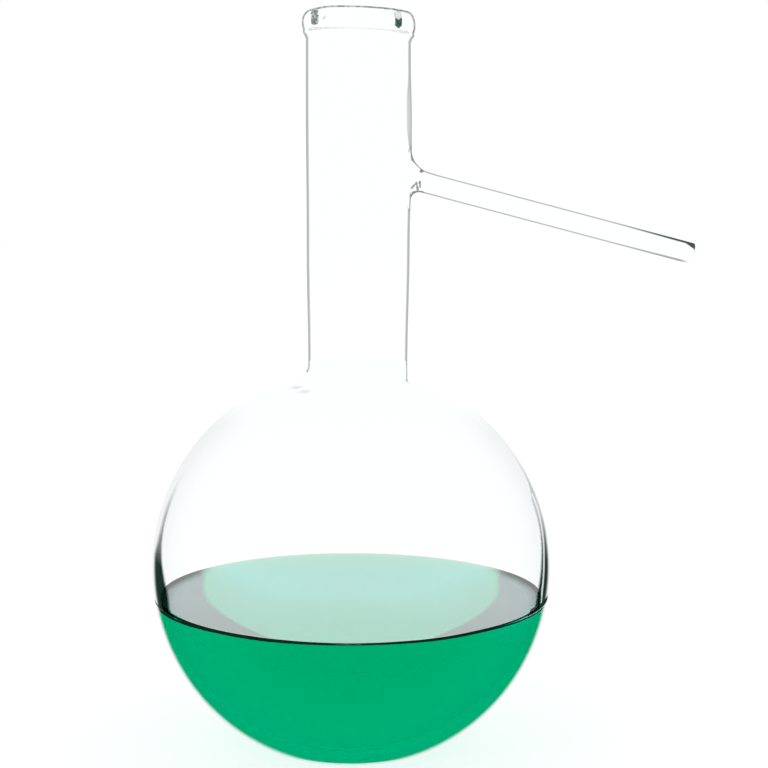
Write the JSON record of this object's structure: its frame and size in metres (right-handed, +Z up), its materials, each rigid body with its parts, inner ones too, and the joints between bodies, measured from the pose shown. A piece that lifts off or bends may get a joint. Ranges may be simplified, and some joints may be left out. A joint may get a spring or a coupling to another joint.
{
  "type": "distilling flask",
  "caption": "Flat-bottomed glass distilling flask with a beaded straight neck and a sloping side arm, half filled with green liquid",
  "frame": {"origin": "the middle of the flat base, on the surface that the flask stands on", "axes": "+Z up along the neck, +X the way the side arm points, +Y completes a right-handed frame"},
  "size_m": [0.1771, 0.131, 0.2398],
  "materials": {
    "clear_glass": "polished",
    "green_liquid": "polished"
  },
  "bodies": {
    "root": {"bulb": "clear_glass", "neck": "clear_glass", "rim_bead": "clear_glass", "side_arm_seal": "clear_glass", "side_arm": "clear_glass", "liquid": "green_liquid"}
  },
  "joints": []
}
